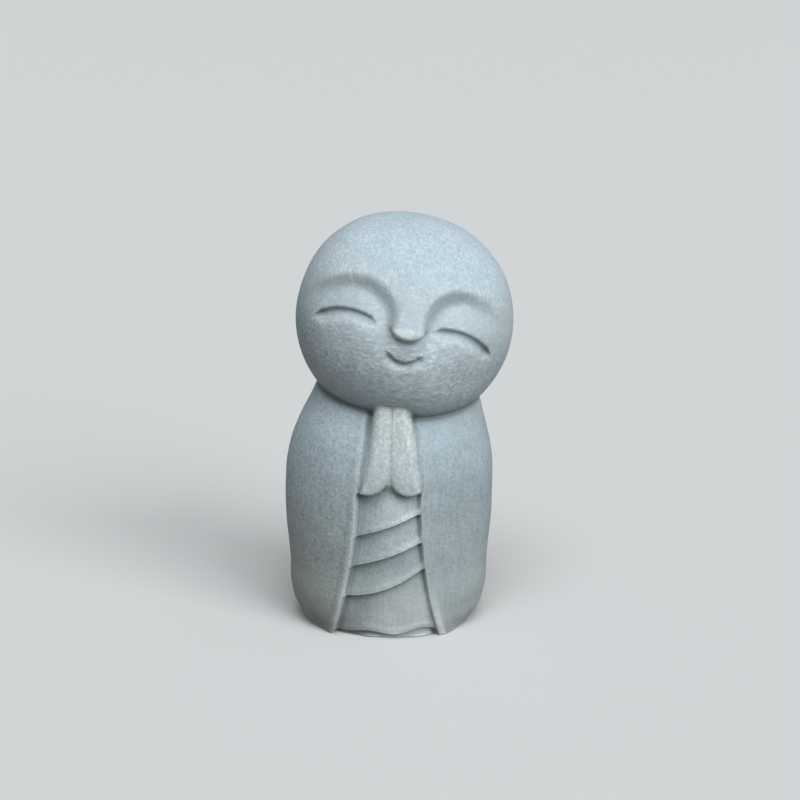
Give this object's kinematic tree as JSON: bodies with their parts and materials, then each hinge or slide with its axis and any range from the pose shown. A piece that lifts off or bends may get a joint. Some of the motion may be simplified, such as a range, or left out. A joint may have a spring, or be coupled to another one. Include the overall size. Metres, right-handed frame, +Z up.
{
  "type": "jizo statue",
  "caption": "Small cast concrete jizo statue with a round tilted head, smiling face, joined hands and a long cloak, standing on a flat underside.",
  "frame": {"origin": "centre of the flat underside of the body, on the surface the statue stands on", "axes": "+Z up through the head, the face and joined hands look towards -Y, +X is to the right when looking at the face"},
  "size_m": [0.0495, 0.0472, 0.0901],
  "materials": {
    "cast_concrete": "matt fine-grained grey concrete, slightly blue, lighter on worn edges and darker in hollows"
  },
  "bodies": {
    "root": {"jizo_figure": "cast_concrete"}
  },
  "joints": []
}
